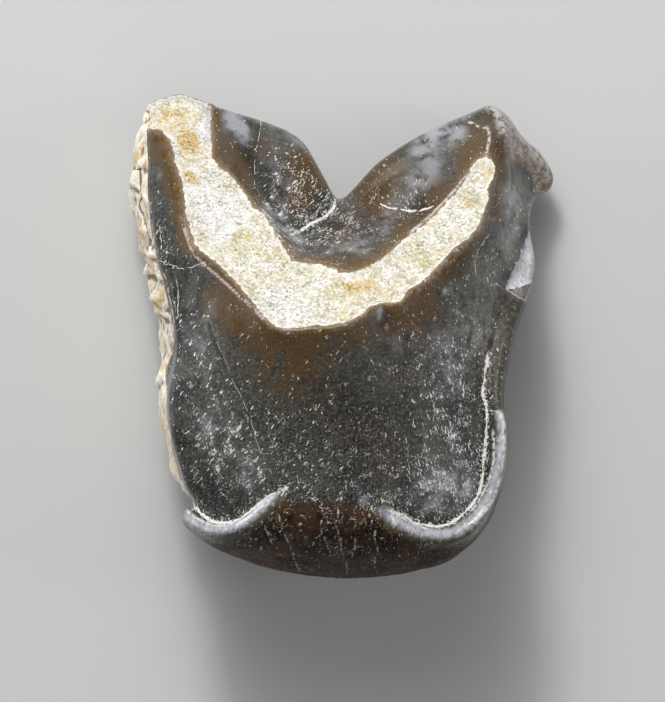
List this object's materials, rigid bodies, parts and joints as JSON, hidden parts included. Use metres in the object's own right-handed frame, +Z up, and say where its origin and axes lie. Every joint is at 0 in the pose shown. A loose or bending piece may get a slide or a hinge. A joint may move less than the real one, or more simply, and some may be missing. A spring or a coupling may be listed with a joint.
{
  "type": "fossil mammal tooth",
  "caption": "Broken crescent of a large browsing mammal's fossil cheek tooth: dark enamel face, V of worn cream dentine, open valley behind it.",
  "frame": {"origin": "centre of the bounding box, on the surface that the tooth lies on", "axes": "+Y from the swollen base of the crown to the chewing end, +Z up from the resting spot to the cheek face, +X from the broken side to the whole side"},
  "size_m": [0.0486, 0.055, 0.032],
  "materials": {
    "fossil": "dark polished enamel with a band and a broken side of matt cream dentine"
  },
  "bodies": {
    "root": {"tooth": "fossil"}
  },
  "joints": []
}
